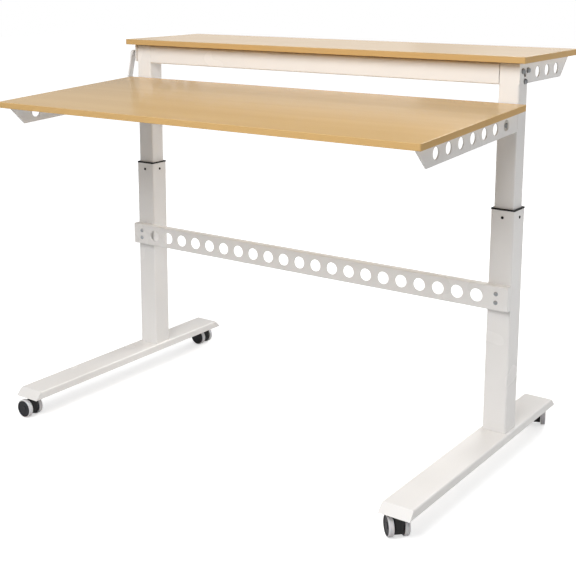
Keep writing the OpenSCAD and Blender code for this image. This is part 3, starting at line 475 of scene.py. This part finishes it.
def cross_outline():
    """The twelve corners of the recess, in mm."""
    arm = ((RECESS_ARM, -RECESS_HALF), (RECESS_ARM, RECESS_HALF), (RECESS_HALF, RECESS_HALF))
    return [(y * math.cos(turn) - z * math.sin(turn), y * math.sin(turn) + z * math.cos(turn))
            for turn in turns(4) for y, z in arm]


def pan_head_screw(build, place, length, head_r):
    """Head at the low end of x, whose flat crown has a cross sunk in it."""
    crown_r = CROWN_SHARE * head_r
    lathe(build, [(0, crown_r), (SHOULDER_AT, SHOULDER_SHARE * head_r), (SIDE_AT, head_r), (PAN_T, head_r),
                  (PAN_T, BOARD_SCREW_R), (length - POINT_T, BOARD_SCREW_R), (length, 0)], place, SCREW_STEPS)
    cross = cross_outline()
    brink = [build.verts.new(place @ Vector((0, y * MM, z * MM))) for y, z in cross]
    sunk = [build.verts.new(place @ Vector((RECESS_DEPTH * MM, y * RECESS_TAPER * MM, z * RECESS_TAPER * MM)))
            for y, z in cross]
    bridge(build, brink, sunk)
    build.faces.new(sunk)
    # The flat crown, from the cross's brink out to the rim
    rim = ring(build, place, 0, [crown_r] * SCREW_STEPS)
    edges = [build.edges.get((a, b)) for a, b in zip(brink, brink[1:] + brink[:1])]
    edges += [build.edges.new((a, b)) for a, b in zip(rim, rim[1:] + rim[:1])]
    bmesh.ops.triangle_fill(build, use_beauty=True, use_dissolve=False, edges=edges)


def make_board_screws():
    build = bmesh.new()
    for low, high in parts_of("board_screws"):
        place = Matrix.Translation(foot_of(low, high)) @ UPRIGHT
        pan_head_screw(build, place, length=(high.z - low.z) / MM, head_r=(high.x - low.x) / 2 / MM)
    weld(build)
    add_piece("board_screw_set", build, [zinc], "lift", "board_screws")


make_bracket_bolts()
for side in SIDES:
    make_threaded_screw(side)
make_board_screws()


# The stage: a pale floor and a white surround, with soft lamps, in metres and watts
FLOOR_HALF = 14.0
LAMPS_AIM_AT = Vector((0.05, 0.0, 0.6))
DOME_STRENGTH = 0.2


def seen_directly(tree):
    """1 for what the camera sees, straight or in a reflection or a lens, and 0 for light on the desk."""
    path = node(tree, "LightPath", {})
    seen = node(tree, "Math", {0: path.outputs["Is Camera Ray"], 1: path.outputs["Is Glossy Ray"]},
                operation="MAXIMUM")
    return node(tree, "Math", {0: seen, 1: path.outputs["Is Transmission Ray"]}, operation="MAXIMUM")


def pale_floor():
    """A matt painted floor. It keeps the soft shadow and lights the desk from below, and the camera alone
    sees it lifted to white."""
    made, tree = material("pale_floor")
    matt = node(tree, "BsdfDiffuse", {"Color": linear("#d2d2d2")})
    # Far from the lamps the paint is dim, so it is lifted more there
    place = node(tree, "TexCoord", {}).outputs["Object"]
    far = node(tree, "VectorMath", {0: place}, operation="LENGTH").outputs["Value"]
    strength = node(tree, "MapRange", {
        "Value": far, FROM_LOW: 1.2, FROM_HIGH: 3.0, TO_LOW: 0.62, TO_HIGH: 1.0})
    lift = node(tree, "Emission", {"Color": linear("#ffffff"), "Strength": strength})
    none = node(tree, "Emission", {"Color": linear("#000000"), "Strength": 0.0})
    to_camera = node(tree, "LightPath", {}).outputs["Is Camera Ray"]
    lifted = node(tree, "MixShader", {SHARE: to_camera, 1: none, 2: lift})
    both = node(tree, "AddShader", {0: matt, 1: lifted})
    node(tree, "OutputMaterial", {"Surface": both})
    return made


def make_floor():
    half = FLOOR_HALF
    corners = [(-half, -half, 0), (half, -half, 0), (half, half, 0), (-half, half, 0)]
    mesh = bpy.data.meshes.new("studio_floor")
    mesh.from_pydata(corners, [], [(0, 1, 2, 3)])
    floor = bpy.data.objects.new("studio_floor", mesh)
    bpy.context.scene.collection.objects.link(floor)
    mesh.materials.append(pale_floor())


def light_surround():
    """White to the camera, dimmer overhead in reflections, and a plain dome of light for everything else."""
    world = bpy.data.worlds.new("studio_surround")
    world.use_nodes = True
    tree = world.node_tree
    tree.nodes.clear()
    # In a reflection it dims overhead, so that the flat boards pale only at a low angle
    direction = node(tree, "TexCoord", {}).outputs["Generated"]
    height = node(tree, "SeparateXYZ", {"Vector": direction}).outputs["Z"]
    backdrop = node(tree, "MapRange", {
        "Value": height, FROM_LOW: 0.1, FROM_HIGH: 0.26, TO_LOW: 0.9, TO_HIGH: 0.35})
    to_camera = node(tree, "LightPath", {}).outputs["Is Camera Ray"]
    strength = node(tree, "Math", {0: to_camera, 1: backdrop}, operation="MAXIMUM")
    white = node(tree, "Background", {"Color": linear("#ffffff"), "Strength": strength})
    dome = node(tree, "Background", {"Color": linear("#ffffff"), "Strength": DOME_STRENGTH})
    mix = node(tree, "MixShader", {SHARE: seen_directly(tree), 1: dome, 2: white})
    node(tree, "OutputWorld", {"Surface": mix})
    bpy.context.scene.world = world


def softbox(name, at, wide, tall, watts, in_gloss=True):
    """A lamp behind a diffuser, pointed near the middle of the desk.
    It isn't in the picture, and shows in reflections only where in_gloss says so."""
    lamp = bpy.data.lights.new(name, "AREA")
    lamp.shape = "RECTANGLE"
    lamp.size, lamp.size_y = wide, tall
    lamp.energy = watts
    holder = bpy.data.objects.new(name, lamp)
    holder.location = at
    holder.rotation_euler = (LAMPS_AIM_AT - Vector(at)).to_track_quat("-Z", "Y").to_euler()
    holder.visible_camera = False
    holder.visible_glossy = in_gloss
    bpy.context.scene.collection.objects.link(holder)


make_floor()
light_surround()
softbox("front_softbox", at=(0.5, -2.4, 2.6), wide=1.8, tall=1.8, watts=86)
softbox("front_left_softbox", at=(-1.4, -2.0, 3.2), wide=2.0, tall=2.0, watts=16)
softbox("back_softbox", at=(0.0, 2.6, 2.6), wide=1.6, tall=1.4, watts=38)
# Two low lamps for the feet and the columns' sides. On the flat boards they would gloss as hard patches
softbox("low_back_softbox", at=(0.2, 2.8, 1.1), wide=2.0, tall=1.2, watts=30, in_gloss=False)
softbox("right_softbox", at=(2.6, 1.0, 1.1), wide=1.2, tall=1.2, watts=18, in_gloss=False)
# A strip that pales the back of the desktop
softbox("strip_light", at=(-2.3, 3.4, 1.7), wide=1.6, tall=0.4, watts=1.4)

# The camera stands to the right of the desk's middle, a little above the shelf
CAMERA_AT = (1.658, -2.302, 1.189)
TURNED_LEFT = math.radians(36.63)
TIPPED_DOWN = math.radians(11.23)
LEAN = math.radians(-0.21)
LENS_MM, SENSOR_MM = 69.19, 36.0
LENS_SHIFT = (0.066, -0.170)


def make_camera():
    lens = bpy.data.cameras.new("camera")
    lens.lens = LENS_MM
    lens.sensor_width = SENSOR_MM
    lens.shift_x, lens.shift_y = LENS_SHIFT
    camera = bpy.data.objects.new("camera", lens)
    turn = Matrix.Rotation(TURNED_LEFT, 4, "Z") @ Matrix.Rotation(math.pi / 2 - TIPPED_DOWN, 4, "X")
    camera.matrix_world = Matrix.Translation(CAMERA_AT) @ turn @ Matrix.Rotation(LEAN, 4, "Z")
    bpy.context.scene.collection.objects.link(camera)
    bpy.context.scene.camera = camera


make_camera()
bpy.context.scene.view_settings.view_transform = "Standard"

bpy.context.view_layer.update()
